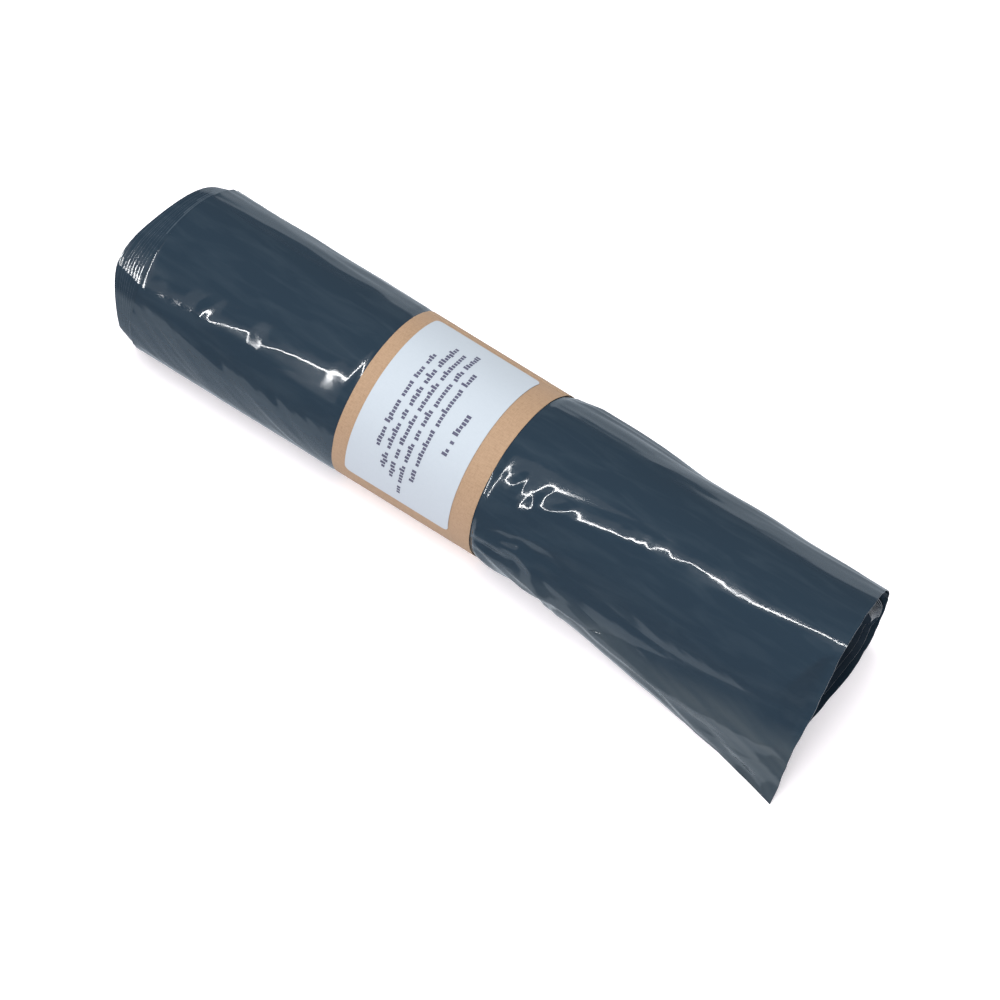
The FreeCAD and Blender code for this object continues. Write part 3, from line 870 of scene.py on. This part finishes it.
    def bulge(self, x: np.ndarray, u: np.ndarray) -> np.ndarray:
        """Returns the lift of the bulge at the back, right of the band.

        Args:
            x: Places along the roll.
            u: Places round the roll.

        Returns:
            The lift at each place.
        """
        middle, half = self.bulge_peak
        start, full, fall, end = self.bulge_span
        span = smooth_step(start, full, x) * (1 - smooth_step(fall, end, x))
        return self.bulge_height * np.exp(-(((u - middle) / half) ** 2)) * span

    def rim(self, u: np.ndarray) -> np.ndarray:
        """Returns the lip's slanted rim along the roll.

        Args:
            u: Places round the roll.

        Returns:
            The rim's place along the roll, for each place round it.
        """
        x = np.full_like(u, self.turns_end)
        for _ in range(8):
            y, z = self.form.tailed(x, u)
            slant = self.rim_rise * z + self.rim_swing * (self.rim_back - y + self.form.axis_y)
            slant = np.where(u < -self.form.round_half, np.minimum(slant, -self.lip_back), slant)
            x = self.turns_end + np.minimum(slant, self.lip_reach)
        return x + self.ragged_rim.at(u, u)

    def left(self, materials: list[bpy.types.Material]) -> bpy.types.Object:
        """Returns the outer turn on the left of the band.

        Args:
            materials: Film and its cut edge.

        Returns:
            The sheet.
        """
        mesh, a, b = grid_mesh("film_left", 118, 250)
        half = self.form.half_turn
        u = -half + 2 * half * b
        edge = self.left_edge - self.form.skew(u, np.zeros_like(u), 1.0)
        edge += self.ragged_left.at(u, u)
        x = edge + (self.band[0] + self.tuck - edge) * (0.15 * a ** 3 + 0.85 * a ** 1.3)
        height, fade = self.left_flare
        flare = height * np.exp(-(x - edge) / fade)
        lift = self.lift(x, u, self.left_creases, 2.0, self.tilts[1]) + flare + self.form.corner(x, u)
        y, z = pushed_out(lambda _, at: self.form.closed(at, np.zeros_like(at)), x, u, lift)
        return thickened(mesh, (x, y, np.maximum(z, 0.1 * MM)), materials, self.thickness)

    def right(self, materials: list[bpy.types.Material]) -> bpy.types.Object:
        """Returns the outer film on the right of the band, with the loose tail and its lip.

        Args:
            materials: Film and its cut edge.

        Returns:
            The sheet.
        """
        mesh, a, b = grid_mesh("film_right", 180, 250)
        x, u = self.tail_grid(a, b, self.band[1] - self.tuck, 0.0, 0.0)
        lift = self.lift(x, u, self.right_creases, 5.0, self.tilts[2])
        y, z = pushed_out(self.form.tailed, x, u, lift)
        # Share of the painted light on the tail, kept in the "loose" attribute.
        mesh.attributes.new("loose", "FLOAT", "POINT").data.foreach_set("value", self.painted_show_through(x, u))
        return thickened(mesh, (x, y, np.maximum(z, 0.4 * MM)), materials, self.thickness)

    def painted_show_through(self, x: np.ndarray, u: np.ndarray) -> np.ndarray:
        """Returns the share of painted light on the tail where it is clear of the roll: a paler colour that
        stands in for the bright floor seen through and reflected in the film.

        Args:
            x: Places along the roll.
            u: Places round the roll.

        Returns:
            The share at each place.
        """
        fold_x, fold_u = (np.array(row) * MM for row in zip(*self.painted_light_line))
        below = u - np.interp(x, fold_x, fold_u) + Wave(3 * MM, 26 * MM, 12 * MM, 41.0).at(x, u)
        streaky = 0.8 + Wave(0.5, 40 * MM, 5 * MM, 43.0).at(x, u - self.tilts[2] * x)
        return smooth_step(-3 * MM, 15 * MM, below) * smooth_step(16 * MM, 60 * MM, x) * streaky

    def tail_grid(self, a: np.ndarray, b: np.ndarray, start: float, short: float,
                  back: float) -> tuple[np.ndarray, np.ndarray]:
        """Returns places on the tail's unrolled sheet.

        Args:
            a: Share along the roll.
            b: Share round the roll, from the inner end to the free edge.
            start: Left edge of the sheet.
            short: How far its rim and free edge stay back.
            back: Where it starts round the roll, or 0 for the flat spot's front.

        Returns:
            The places along and round the roll.
        """
        form = self.form
        knee = 0.14
        under = -(form.half_turn + form.flat_half * 0.97)
        first = under if back == 0.0 else back
        turn = -form.round_half if back == 0.0 else back
        guess = start + (self.turns_end + 10 * MM - start) * a
        end = form.free_edge(guess) - short
        low = first + (turn - first) * b / knee
        high = turn + (end - turn) * (b - knee) / (1 - knee)
        u = np.where(b < knee, low, high) if back == 0.0 else first + (end - first) * b
        x = start + (self.rim(u) - short - start) * a
        return x, u

    def lining(self, materials: list[bpy.types.Material]) -> bpy.types.Object:
        """Returns the tail's second layer of film, a little shorter than the outer one.

        Args:
            materials: Film and its cut edge.

        Returns:
            The sheet.
        """
        mesh, a, b = grid_mesh("tail_lining", 90, 110)
        start = self.form.tail_start + self.form.offset_x + self.lining_start
        x, u = self.tail_grid(a, b, start, self.lining_short, self.lining_back)
        lift = self.lift(x, u, self.right_creases, 5.0, self.tilts[2]) - self.lining_depth
        y, z = pushed_out(self.form.tailed, x, u, lift)
        return thickened(mesh, (x, y, np.maximum(z, 0.5 * MM)), materials, self.lining_wall)


@dataclass
class WoundTurns:
    """Wound film under the outer turn: its two ends, its face under the tail and the hollow.

    Attributes:
        form: Roll's form.
        wall: Wound film, from the outer turn to the hollow.
        pitch: One folded bag in the winding, with the air beside it.
        slide: Slide of each turn over the next.
        slid: Turns that have slid.
        seat: Depth of the wound film's face under the tail.
        thickness: Film's wall.
        spread: Depth of the turns that have slid out at the left.
        crumple: How far the hollow's wall has crumpled.
        cells: Faces along one turn's end, and round each turn.
        bunch: Exponent that bunches those faces at the turn's edge.
        flush: Where the wall's end reaches the rim at the back, and its half width round the roll.
        painted_edge_light: Width of the paler strip painted on each turn's edge, a painted highlight that
            makes the steps show.
    """

    form: RollForm
    wall: float = 12.0 * MM
    pitch: float = 0.55 * MM
    slide: float = 1.8 * MM
    slid: int = 10
    seat: float = 1.35 * MM
    thickness: float = 0.3 * MM
    spread: float = 3.6 * MM
    crumple: float = 1.3 * MM
    cells: tuple[int, int] = (9, 96)
    bunch: float = 2.6
    flush: tuple[float, float] = (-97.0 * MM, 12.0 * MM)
    painted_edge_light: float = 0.7 * MM

    def buckle(self, x: np.ndarray, u: np.ndarray, inset: np.ndarray) -> np.ndarray:
        """Returns how far the winding has crumpled inwards, most at the hollow.

        Args:
            x: Places along the roll.
            u: Places round the roll.
            inset: Depth in the winding.

        Returns:
            The move inwards at each place.
        """
        depth = (inset / self.wall) ** 2
        closed = 2 * self.form.half_turn
        wave = np.sin(2 * math.pi * 3 * u / closed + 0.8 + x / (90 * MM))
        wave += 0.6 * np.sin(2 * math.pi * 7 * u / closed + 2.0 - x / (60 * MM))
        return self.crumple * depth * (wave + 0.7)

    def edge(self, turn: np.ndarray, seed: float) -> np.ndarray:
        """Returns how far each turn's end has slid along the roll.

        Args:
            turn: Number of the turn, counted from the outer one.
            seed: Slice of the noise.

        Returns:
            The slide for each place on the spiral.
        """
        uneven = 0.7 * MM * noise_at(turn, turn, (1.7, 0.9), seed)
        return self.slide * np.minimum(turn, self.slid) + uneven * np.minimum(turn, 1.0)

    def spiral(self, name: str, end: float, inner: float, side: int, start: float,
               materials: list[bpy.types.Material], rim: Callable | None = None) -> bpy.types.Object:
        """Returns the winding's end as one spiral sheet.

        Args:
            name: Object's name.
            end: End of the outer turn along the roll.
            inner: Where the sheet stops inside the roll.
            side: -1 where the turns slide out to the left, 1 where they fall back at the right.
            start: Depth of the first turn.
            materials: Film, its painted edge highlight if it has one, and its cut edge.
            rim: Gives the lip's rim, which the wall's end reaches at the back.

        Returns:
            The sheet.
        """
        turns = (self.wall - start) / self.pitch
        mesh, a, b = grid_mesh(name, self.cells[0], int(turns * self.cells[1]))
        turn = b * turns
        loop = 2 * self.form.half_turn
        u = -self.form.half_turn + loop * np.mod(turn, 1.0)
        inset = start + self.pitch * turn
        slide = self.edge(turn + 1, 11.0 + side)
        if side < 0:
            edge = end - slide - self.form.skew(u, turn + 1, self.slid)
            inset = np.interp(turn, (0, self.slid, turns), (start, start + self.spread, self.wall))
        else:
            flush = np.exp(-(((u - self.flush[0]) / self.flush[1]) ** 4))
            edge = end - 0.6 * MM + (rim(u) - end) * flush - slide * (0.05 + 2.2 * (1 - flush))
        x = edge + (inner - edge) * (a if side < 0 else 1 - a) ** self.bunch
        curl = 0.6 + 0.4 * noise_at(u + turn * 3 * MM, turn, (26 * MM, 0.45), 9.0)
        flare = 0.15 * MM * curl * np.exp(-np.abs(x - edge) / (0.9 * MM))
        depth = inset + self.buckle(x, u, inset)
        if side < 0:
            depth = depth - flare - self.form.corner(x, u)
        y, z = self.form.closed(u, depth)
        # Faces within this width of a turn's edge take the painted edge highlight.
        return thickened(mesh, (x, y, z), materials, self.thickness, np.abs(x - edge) < self.painted_edge_light)

    def tube(self, name: str, span: tuple[float, float], inset: float, cells: tuple[int, int],
             materials: list[bpy.types.Material]) -> bpy.types.Object:
        """Returns one turn of film that runs along the roll.

        Args:
            name: Object's name.
            span: Its left and right ends.
            inset: Its depth in the winding.
            cells: Faces along and round it.
            materials: Film and its cut edge.

        Returns:
            The sheet.
        """
        mesh, a, b = grid_mesh(name, *cells)
        half = self.form.half_turn
        u = -half + 2 * half * b
        x = span[0] + (span[1] - span[0]) * a
        depth = np.full_like(u, inset)
        wave = 0.25 * MM * noise_at(x, u, (30 * MM, 12 * MM), inset / MM)
        depth = depth + self.buckle(x, u, depth) + np.abs(wave) - self.form.corner(x, u)
        y, z = self.form.closed(u, depth)
        return thickened(mesh, (x, y, z), materials, self.thickness)


@dataclass
class Papers:
    """Kraft band round the roll and the label on it.

    Attributes:
        form: Roll's form.
        band: Band's left and right edges.
        label: Label's left and right edges.
        label_arc: Label's upper and lower edges, in degrees from the back.
        lap: Lower and upper ends of the band's glued lap, in degrees from the back.
        paper: Band's thickness.
        gap: Air between the papers and what they lie on.
        corner: Label's corner radius.
        label_paper: Label's thickness.
        label_gap: Height of its underside above the round part.
        climb: Distance over which the tape climbs onto its own start.
        ragged: Unevenness of the tape's edges.
        ripple: Unevenness of its face.
    """

    form: RollForm
    band: tuple[float, float]
    label: tuple[float, float]
    label_arc: tuple[float, float] = (46.0, 183.5)
    lap: tuple[float, float] = (4.0, 40.0)
    paper: float = 0.3 * MM
    gap: float = 0.1 * MM
    corner: float = 4.0 * MM
    label_paper: float = 0.2 * MM
    label_gap: float = 0.14 * MM
    climb: float = 12.0 * MM
    ragged: Wave = Wave(0.22 * MM, 40 * MM, 17 * MM, 21.0)
    ripple: Wave = Wave(0.10 * MM, 60 * MM, 22 * MM, 4.0)

    @property
    def label_face(self) -> float:
        """Returns the depth of the label's face, negative because it stands above the round part."""
        return -self.label_paper - self.label_gap

    def along_arc(self, degrees: float) -> float:
        """Returns the length of film from the crown to an angle that is counted from the back."""
        return self.form.radius * math.radians(degrees - 90.0)

    def kraft(self, materials: list[bpy.types.Material]) -> bpy.types.Object:
        """Returns the band: one turn of kraft tape whose end laps over its start at the back.

        Args:
            materials: Kraft and its cut edge.

        Returns:
            The sheet.
        """
        mesh, a, b = grid_mesh("kraft_band", 40, 330)
        loop = 2 * self.form.half_turn
        start, end = (self.along_arc(angle) for angle in self.lap)
        run = (loop + end - start) * b
        half = self.form.half_turn
        wrapped = np.mod(start + run + half, loop) - half
        climbed = smooth_step(loop - self.climb, loop - 1 * MM, run)
        x = self.band[0] + (self.band[1] - self.band[0]) * a + self.ragged.at(wrapped, wrapped)
        ripple = np.abs(self.ripple.at(x, wrapped))
        inset = self.gap - (self.paper + 0.02 * MM) * climbed - ripple
        y, z = self.form.closed(wrapped, inset)
        return thickened(mesh, (x, y, np.maximum(z, 0.05 * MM)), materials, self.paper)

    def sticker(self, materials: list[bpy.types.Material]) -> bpy.types.Object:
        """Returns the label, a sheet with rounded corners.

        Args:
            materials: Label paper and its cut edge.

        Returns:
            The sheet.
        """
        mesh, a, b = grid_mesh("label_sheet", 60, 110)
        left, right = self.label
        top, foot = (self.along_arc(angle) for angle in self.label_arc)
        x, u = self.rounded(left + (right - left) * a, top + (foot - top) * b, (left, right, top, foot))
        y, z = self.form.closed(u, np.full_like(u, self.label_face))
        return thickened(mesh, (x, y, z), materials, self.label_paper)

    def rounded(self, x: np.ndarray, u: np.ndarray,
                box: tuple[float, float, float, float]) -> tuple[np.ndarray, np.ndarray]:
        """Returns a rectangle's places drawn in to rounded corners.

        Args:
            x: Places along the roll.
            u: Places round the roll.
            box: Left, right, upper and lower edges.

        Returns:
            The places along and round the roll.
        """
        left, right, top, foot = box
        middle_x, middle_u = (left + right) / 2, (top + foot) / 2
        half_x, half_u = (right - left) / 2, (foot - top) / 2
        from_x, from_u = np.abs(x - middle_x), np.abs(u - middle_u)
        over_x = np.maximum(from_x - (half_x - self.corner), 0.0)
        over_u = np.maximum(from_u - (half_u - self.corner), 0.0)
        square = np.maximum(over_x, over_u)
        reach = np.maximum(np.hypot(over_x, over_u), 1e-9)
        pull = np.where((over_x > 0) & (over_u > 0), square / reach, 1.0)
        new_x = from_x - over_x + over_x * pull
        new_u = from_u - over_u + over_u * pull
        return middle_x + np.sign(x - middle_x) * new_x, middle_u + np.sign(u - middle_u) * new_u


@dataclass(frozen=True)
class PrintRow:
    """One row of print on the label, as a run of plain marks.

    Attributes:
        margin: Distance from the label's left edge, in millimetres.
        arc: Where the row ends and starts, in degrees from the back.
        words: Marks in each word, in reading order.
    """

    margin: float
    arc: tuple[float, float]
    words: tuple[int, ...]


@dataclass
class Print:
    """Plain marks that stand for the label's lines of print.

    Attributes:
        papers: The label that they are printed on.
        rows: Rows of marks.
        tall: Height of a mark.
        proud: How far the ink stands off the paper.
    """

    papers: Papers
    tall: float = 2.3 * MM
    proud: float = 0.03 * MM
    rows: tuple[PrintRow, ...] = (
        PrintRow(18.4, (79.0, 148.7), (6, 7, 5, 4, 4)),
        PrintRow(25.5, (65.2, 161.1), (5, 8, 3, 6, 5, 9)),
        PrintRow(32.0, (67.1, 164.6), (5, 3, 9, 9, 11)),
        PrintRow(38.7, (61.1, 174.7), (3, 6, 6, 3, 5, 8, 4, 7)),
        PrintRow(46.1, (76.6, 159.4), (4, 11, 12, 5)),
        PrintRow(59.3, (102.3, 131.9), (2, 1, 6)),
    )

    def marks(self, materials: list[bpy.types.Material]) -> bpy.types.Object:
        """Returns all the marks as one thin printed layer.

        Args:
            materials: Ink.

        Returns:
            The marks.
        """
        bm = bmesh.new()
        for number, row in enumerate(self.rows):
            self.add_row(bm, row, number)
        mesh = mesh_from(bm, "label_print")
        mesh.materials.append(materials[0])
        return linked("label_print", mesh)

    def add_row(self, bm: bmesh.types.BMesh, row: PrintRow, number: int) -> None:
        """Adds one row of marks.

        Args:
            bm: Mesh to add to.
            row: The row.
            number: Its number on the label.
        """
        start, end = (self.papers.along_arc(angle) for angle in reversed(row.arc))
        cells = sum(row.words) + 1.2 * (len(row.words) - 1)
        step = (end - start) / cells
        base = self.papers.label[0] + row.margin * MM
        at, count = start, 0
        for word in row.words:
            for _ in range(word):
                grow = noise.noise(Vector((count * 0.77, number * 3.1, 5.0)))
                tall = self.tall * (1.0 + max(0.0, grow) * 1.5)
                drop = self.tall * max(0.0, -grow - 0.25) * 1.2
                self.add_mark(bm, (base + drop, tall + drop), at + step * 0.12, at + step * 0.88)
                at += step
                count += 1
            at += step * 1.2

    def add_mark(self, bm: bmesh.types.BMesh, stand: tuple[float, float], first: float, last: float) -> None:
        """Adds one thin mark.

        Args:
            bm: Mesh to add to.
            stand: Mark's lower edge along the roll, and its height.
            first: Start of the mark round the roll.
            last: End of the mark round the roll.
        """
        made = bmesh.ops.create_grid(bm, x_segments=1, y_segments=2, size=1.0)["verts"]
        for vert in made:
            share = (vert.co.y + 1) / 2
            u = np.array([first + (last - first) * share])
            x = stand[0] + self.tall / 2 - stand[1] * (1 - (vert.co.x + 1) / 2)
            y, z = self.papers.form.closed(u, np.array([self.papers.label_face - self.proud]))
            vert.co = (x, y[0], z[0])


@dataclass(frozen=True)
class Studio:
    """Pale floor, soft light and the camera.

    Attributes:
        aim: What the camera looks at.
        azimuth: Camera's direction round the object, in degrees.
        elevation: Camera's height above the horizon, in degrees.
        distance: Camera's distance from the aim.
        lens: Focal length, in millimetres.
        shades: Colour of the surroundings from below, at 0, to above, at 1.
        lean: Direction that counts as up there, which leans to the front.
        reach: Height that counts as 1, along that direction.
    """

    aim: tuple[float, float, float] = (6.5 * MM, -7.2 * MM, 34.0 * MM)
    azimuth: float = 36.0
    elevation: float = 58.0
    distance: float = 9.804
    lens: float = 600.0
    shades: tuple[tuple[float, tuple[float, float, float]], ...] = (
        (0.0, (0.50, 0.55, 0.60)), (0.20, (0.60, 0.67, 0.74)), (0.395, (0.76, 0.84, 0.90)),
        (0.430, (0.17, 0.18, 0.19)), (0.5, (0.14, 0.145, 0.15)), (1.0, (0.10, 0.105, 0.11)))
    lean: tuple[float, float, float] = (0.0, -0.25, 1.0)
    reach: float = 1.1

    def back(self) -> Vector:
        """Returns the direction from the aim to the camera."""
        turn, rise = math.radians(self.azimuth), math.radians(self.elevation)
        return Vector((math.sin(turn) * math.cos(rise), -math.cos(turn) * math.cos(rise), math.sin(rise)))

    def camera(self) -> None:
        """Places the camera."""
        data = bpy.data.cameras.new("camera")
        data.lens = self.lens
        data.sensor_width = 36.0
        data.clip_end = 40.0
        camera = linked("camera", data)
        camera.location = Vector(self.aim) + self.back() * self.distance
        camera.rotation_euler = self.back().to_track_quat("Z", "Y").to_euler()
        bpy.context.scene.camera = camera

    def floor(self) -> None:
        """Lays the pale floor."""
        bm = bmesh.new()
        bmesh.ops.create_grid(bm, x_segments=1, y_segments=1, size=6.0)
        floor = linked("floor", mesh_from(bm, "floor"))
        material, tree = new_material("pale_floor")
        tree.surface({"Base Color": (0.92, 0.88, 0.91, 1.0), "Roughness": 0.9, "Specular IOR Level": 0.1,
                      "Emission Color": (1.0, 0.98, 1.0, 1.0), "Emission Strength": 0.28})
        floor.data.materials.append(material)
        floor.visible_glossy = False

    def panel(self, name: str, place: tuple, look: tuple, size: tuple[float, float], power: float,
              along: Vector | None = None) -> None:
        """Hangs one light: a soft one for matt surfaces, or a strip that shows only in reflections.

        Args:
            name: Light's name.
            place: Where it hangs.
            look: What it faces.
            size: Its two sides.
            power: Its power, in watts.
            along: Direction of a strip's long side, or None for a soft light.
        """
        data = bpy.data.lights.new(name, "AREA")
        data.shape = "RECTANGLE"
        data.size, data.size_y = size
        data.energy = power
        light = linked(name, data)
        light.location = place
        facing = (Vector(place) - Vector(look)).normalized()
        if along is None:
            light.rotation_euler = facing.to_track_quat("Z", "Y").to_euler()
        else:
            long_side = (along - facing * along.dot(facing)).normalized()
            turned = Matrix((long_side, facing.cross(long_side), facing)).transposed()
            light.rotation_euler = turned.to_euler()
        light.visible_glossy = along is not None
        light.visible_diffuse = along is None
        light.visible_camera = False

    def lights(self) -> None:
        """Hangs the lights: two soft ones for the papers and floor, one strip for the film."""
        self.panel("overhead", (-0.4, 0.3, 2.2), (0.0, 0.0, 0.0), (3.0, 3.0), 112.0)
        self.panel("front_fill", (0.9, -1.9, 1.2), (0.0, 0.0, 0.05), (1.6, 1.2), 44.0)
        start, end = Vector((-0.56, -0.97, 0.37)), Vector((0.0, 0.14, 1.10))
        middle, run = (start + end) / 2, end - start
        roll_middle = (0.0, 0.0, 0.06)
        self.panel("strip", tuple(middle), roll_middle, (run.length, 0.011), 4.0, run)
        self.panel("glow", tuple(middle * 1.05), roll_middle, (run.length, 0.24), 0.5, run)

    def world(self) -> None:
        """Sets the surroundings: bright low down, dim above."""
        world = bpy.data.worlds.new("surroundings")
        bpy.context.scene.world = world
        world.use_nodes = True
        world.node_tree.nodes.clear()
        tree = NodeTree(world.node_tree)
        place = tree.node("ShaderNodeTexCoord", {}).outputs["Generated"]
        lean = tree.node("ShaderNodeVectorMath", {0: place, 1: self.lean}, operation="DOT_PRODUCT")
        rise = tree.ranged(lean.outputs["Value"], (-self.reach, self.reach))
        shade = tree.node("ShaderNodeValToRGB", {"Fac": rise})
        stops = shade.color_ramp.elements
        for stop, (height, colour) in zip((stops[0], stops[1]), (self.shades[0], self.shades[-1])):
            stop.position, stop.color = height, (*colour, 1.0)
        for height, colour in self.shades[1:-1]:
            stops.new(height).color = (*colour, 1.0)
        sky = tree.node("ShaderNodeBackground", {"Color": shade.outputs["Color"]})
        tree.node("ShaderNodeOutputWorld", {"Surface": sky.outputs["Background"]})

    def build(self) -> None:
        """Sets up the whole studio."""
        self.floor()
        self.lights()
        self.world()
        self.camera()
        bpy.context.scene.view_settings.view_transform = "Standard"


OUTER_FILM = FilmFinish("film_outer", (0.014, 0.026, 0.040), (0.022, 0.036, 0.051), (0.07, 0.16),
                        0.045 * MM)
INNER_FILM = FilmFinish("film_inner", (0.022, 0.034, 0.050), (0.034, 0.048, 0.066), (0.14, 0.28),
                        0.2 * MM)
FILM_EDGE = FilmFinish("film_edge", (0.22, 0.24, 0.26), (0.50, 0.52, 0.54), (0.30, 0.50), 0.15 * MM)
# Paler strip on each turn's edge at the left end: a painted highlight that makes the steps between the turns
# show.
FILM_EDGE_HIGHLIGHT = FilmFinish("film_painted_edge_highlight", (0.034, 0.050, 0.068), (0.054, 0.072, 0.092), (0.14, 0.26),
                       0.05 * MM)
KRAFT = PaperFinish("kraft_tape", (0.315, 0.212, 0.136), (0.215, 0.135, 0.082), 0.55, 0.62, 0.12 * MM)
KRAFT_EDGE = PaperFinish("kraft_cut_edge", (0.44, 0.32, 0.21), (0.36, 0.24, 0.14), 0.4, 0.8, 0.1 * MM)
LABEL = PaperFinish("label_stock", (0.370, 0.408, 0.450), (0.335, 0.373, 0.415), 0.35, 0.55, 0.05 * MM)
INK = PaperFinish("print_ink", (0.06, 0.06, 0.10), (0.10, 0.10, 0.15), 0.6, 0.6, 0.05 * MM)


def ride(piece: bpy.types.Object, slot: Slot, *nodes: str) -> None:
    """Ties a piece to the frame.

    Args:
        piece: The piece.
        slot: Not used.
        nodes: Nodes of the frame that it stands for.
    """
    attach(piece, BODY)
    if nodes:
        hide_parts(*nodes)
    LOG.info("%s: %d faces", piece.name, len(piece.data.polygons))


def main() -> None:
    """Builds the pieces in order."""
    logging.basicConfig(level=logging.INFO, format="%(name)s %(message)s")
    roll_low = Vector(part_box("bag_roll")[0])
    band_low, band_high = (Vector(corner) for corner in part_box("paper_band"))
    label_low, label_high = (Vector(corner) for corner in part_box("paper_label"))
    axis_y = band_low.y + RollForm.radius - Papers.gap
    form = RollForm(axis_y=axis_y, offset_x=(band_low.x + band_high.x) / 2)
    Studio().build()
    groups = SharedGroups()
    # fold is the painted edge highlight for the turns' edges.
    film, inner, fold, edge = (item.build(groups) for item in (OUTER_FILM, INNER_FILM, FILM_EDGE_HIGHLIGHT, FILM_EDGE))
    kraft, kraft_edge, stock, ink = (item.build(groups) for item in (KRAFT, KRAFT_EDGE, LABEL, INK))
    wound = WoundTurns(form)
    left_edge = roll_low.x + wound.slide * wound.slid
    outer = OuterFilm(form, left_edge, (band_low.x, band_high.x))
    right_end = form.turns_end + form.offset_x
    ride(outer.left([film, edge]), Slot.FILM, "bag_roll")
    ride(outer.right([film, edge]), Slot.FILM, "bag_roll")
    ride(outer.lining([inner, edge]), Slot.FILM, "bag_roll")
    ride(wound.spiral("turns_left", left_edge, left_edge + 26 * MM, -1, wound.pitch, [film, fold, edge]),
         Slot.FILM, "bag_roll")
    ride(wound.spiral("turns_right", right_end, right_end - 62 * MM, 1, wound.seat + wound.pitch,
                      [inner, edge], outer.rim), Slot.FILM, "bag_roll")
    ride(wound.tube("wound_face", (0.0, right_end - 6.0 * MM), wound.seat, (110, 90), [film, edge]),
         Slot.FILM, "bag_roll")
    ride(wound.tube("hollow_lining", (roll_low.x + 1 * MM, right_end - wound.slide * wound.slid),
                    wound.wall + 0.4 * MM, (130, 90), [inner, edge]), Slot.FILM, "bag_roll")
    papers = Papers(form, (band_low.x, band_high.x), (label_low.x, label_high.x))
    ride(papers.kraft([kraft, kraft_edge]), Slot.KRAFT, "paper_band")
    ride(papers.sticker([stock, stock]), Slot.LABEL, "paper_label")
    ride(Print(papers).marks([ink]), Slot.LABEL, "paper_label")


if __name__ == "__main__":
    main()
